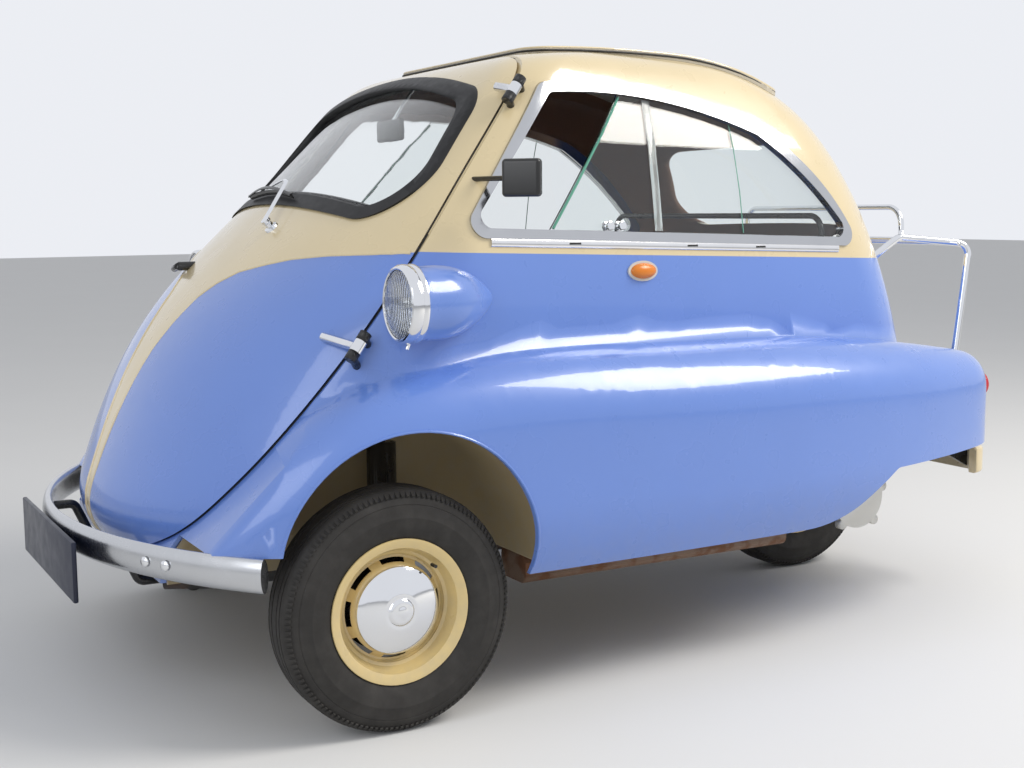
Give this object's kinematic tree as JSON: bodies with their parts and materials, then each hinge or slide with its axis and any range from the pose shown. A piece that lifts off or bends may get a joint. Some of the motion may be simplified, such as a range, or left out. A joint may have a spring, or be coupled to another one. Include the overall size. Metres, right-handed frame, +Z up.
{
  "type": "three-wheeled bubble car",
  "caption": "Egg-shaped bubble car on three wheels with a front door, wrap-round windows, canvas roof, front-hinged steering column and a luggage rack.",
  "frame": {"origin": "on the ground below the middle of the car's box", "axes": "+X to the car's left, +Y to the rear, +Z up"},
  "size_m": [1.438, 2.2839, 1.335],
  "materials": {
    "blue_paint": "glossy light blue",
    "cream_paint": "glossy cream",
    "cabin_two_tone": "glossy blue and cream",
    "glass": "clear",
    "polished": "polished",
    "chrome": "mirror",
    "rubber": "matte",
    "tyre": "worn",
    "canvas": "vinyl canvas",
    "seat_cloth": "woven",
    "black_metal": "black",
    "black_plastic": "black",
    "frame_metal": "dull black",
    "duct_metal": "rusty brown",
    "case_white": "white",
    "engine_alloy": "cast",
    "exhaust": "heat-stained",
    "red_lens": "red",
    "amber_lens": "amber",
    "grip": "ivory"
  },
  "bodies": {
    "root": {"body_lower": "blue_paint", "body_upper": "cream_paint", "window_frame_left": "polished", "window_frame_right": "polished", "side_glass_left": "glass", "side_glass_right": "glass", "rear_window": "glass", "canvas_roof": "canvas", "floor_pan": "cream_paint", "chassis_frame": "frame_metal", "chain_case": "case_white", "engine_block": "engine_alloy", "silencer": "exhaust", "sill_duct": "duct_metal", "front_dampers": "black_metal", "headlamp_pod_left": "blue_paint", "headlamp_left": "chrome", "headlamp_pod_right": "blue_paint", "headlamp_right": "chrome", "hinge_pins": "black_metal", "seat_cushion": "seat_cloth", "seat_back": "seat_cloth", "parcel_rail": "black_metal", "front_bumper": "polished", "rear_bumpers": "cream_paint", "tail_lamps": "red_lens", "side_indicators": "amber_lens", "mirror": "black_plastic", "luggage_rack": "chrome", "seat_base": "black_metal", "bumper_brackets": "black_metal", "rear_brackets": "black_metal"},
    "door": {"door_shell": "cabin_two_tone", "windscreen_seal": "rubber", "windscreen": "glass", "hinge_straps": "chrome", "steering_column": "cream_paint", "instrument_pod": "cream_paint", "door_handle": "black_plastic"},
    "steering_wheel": {"steering_wheel": "grip"},
    "knuckle_left": {"knuckle_left": "black_metal"},
    "knuckle_right": {"knuckle_right": "black_metal"},
    "wheel_front_left": {"tyre_front_left": "tyre", "rim_front_left": "cream_paint", "hub_cap_front_left": "chrome"},
    "wheel_front_right": {"tyre_front_right": "tyre", "rim_front_right": "cream_paint", "hub_cap_front_right": "chrome"},
    "wheel_rear": {"tyre_rear": "tyre", "rim_rear": "cream_paint"}
  },
  "joints": [
    {"name": "door_open", "type": "hinge", "parent": "root", "child": "door", "pos_m": [0.6, -0.68915, 0.7362], "axis": [-0.1463, 0.6132, 0.7762], "range_deg": [0, 75]},
    {"name": "steer_left", "type": "hinge", "parent": "root", "child": "knuckle_left", "pos_m": [0.44, -0.632, 0.29], "axis": [0, 0, 1], "range_deg": [-30, 30]},
    {"name": "steer_right", "type": "hinge", "parent": "root", "child": "knuckle_right", "pos_m": [-0.44, -0.632, 0.29], "axis": [0, 0, 1], "range_deg": [-30, 30]},
    {"name": "steering_wheel_turn", "type": "hinge", "parent": "door", "child": "steering_wheel", "pos_m": [0.205, -0.354, 0.745], "axis": [0, 0.7275, 0.6861], "range_deg": [-360, 360]},
    {"name": "spin_front_left", "type": "hinge", "parent": "knuckle_left", "child": "wheel_front_left", "pos_m": [0.6, -0.632, 0.235], "axis": [1, 0, 0], "continuous": true},
    {"name": "spin_front_right", "type": "hinge", "parent": "knuckle_right", "child": "wheel_front_right", "pos_m": [-0.6, -0.632, 0.235], "axis": [1, 0, 0], "continuous": true},
    {"name": "spin_rear", "type": "hinge", "parent": "root", "child": "wheel_rear", "pos_m": [0, 0.836, 0.235], "axis": [1, 0, 0], "continuous": true}
  ],
  "couplings": [
    {"joint": "steer_right", "follows": "steer_left", "ratio": 1},
    {"joint": "steering_wheel_turn", "follows": "steer_left", "ratio": 12}
  ]
}
